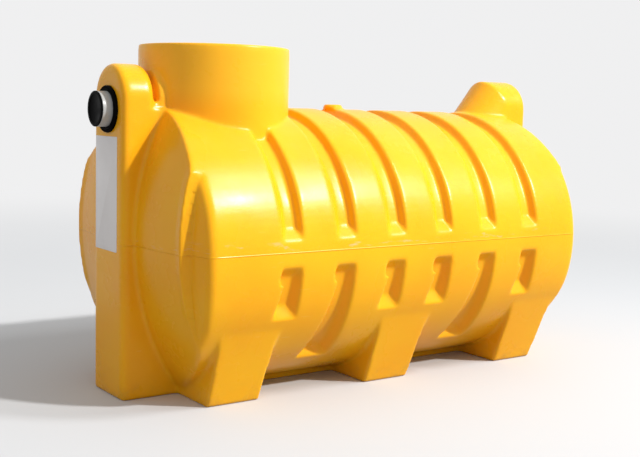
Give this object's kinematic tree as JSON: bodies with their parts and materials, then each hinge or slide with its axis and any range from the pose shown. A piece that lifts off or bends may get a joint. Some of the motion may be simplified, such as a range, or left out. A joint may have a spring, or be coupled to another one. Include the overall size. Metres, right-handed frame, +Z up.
{
  "type": "septic tank",
  "caption": "Horizontal moulded plastic septic tank with ring grooves, flat-based feet, an open manhole neck, an inlet head and an outlet hood, each with a pipe stub.",
  "frame": {"origin": "middle of the bounding box's underside, at ground level under the tank", "axes": "+X along the tank from the inlet to the outlet, +Z up, +Y to the left seen from the inlet"},
  "size_m": [1.812, 0.912, 1.111],
  "materials": {
    "shell": "satin moulded polyethylene",
    "pipe": "satin grey",
    "seal": "matt black",
    "cap": "satin black"
  },
  "bodies": {
    "root": {"barrel_upper": "shell", "barrel_lower": "shell", "front_end": "shell", "rear_end": "shell", "manhole_neck": "shell", "neck_collar": "shell", "inlet_column": "shell", "outlet_column": "shell", "keel": "shell", "foot_front_right": "shell", "foot_middle_right": "shell", "foot_rear_right": "shell", "foot_front_left": "shell", "foot_middle_left": "shell", "foot_rear_left": "shell", "crown_boss": "shell", "inlet_pipe": "pipe", "outlet_pipe": "pipe", "inlet_tee": "pipe", "outlet_tee": "pipe", "inlet_seal": "seal", "outlet_seal": "seal", "inlet_cap": "cap", "outlet_cap": "cap"}
  },
  "joints": []
}
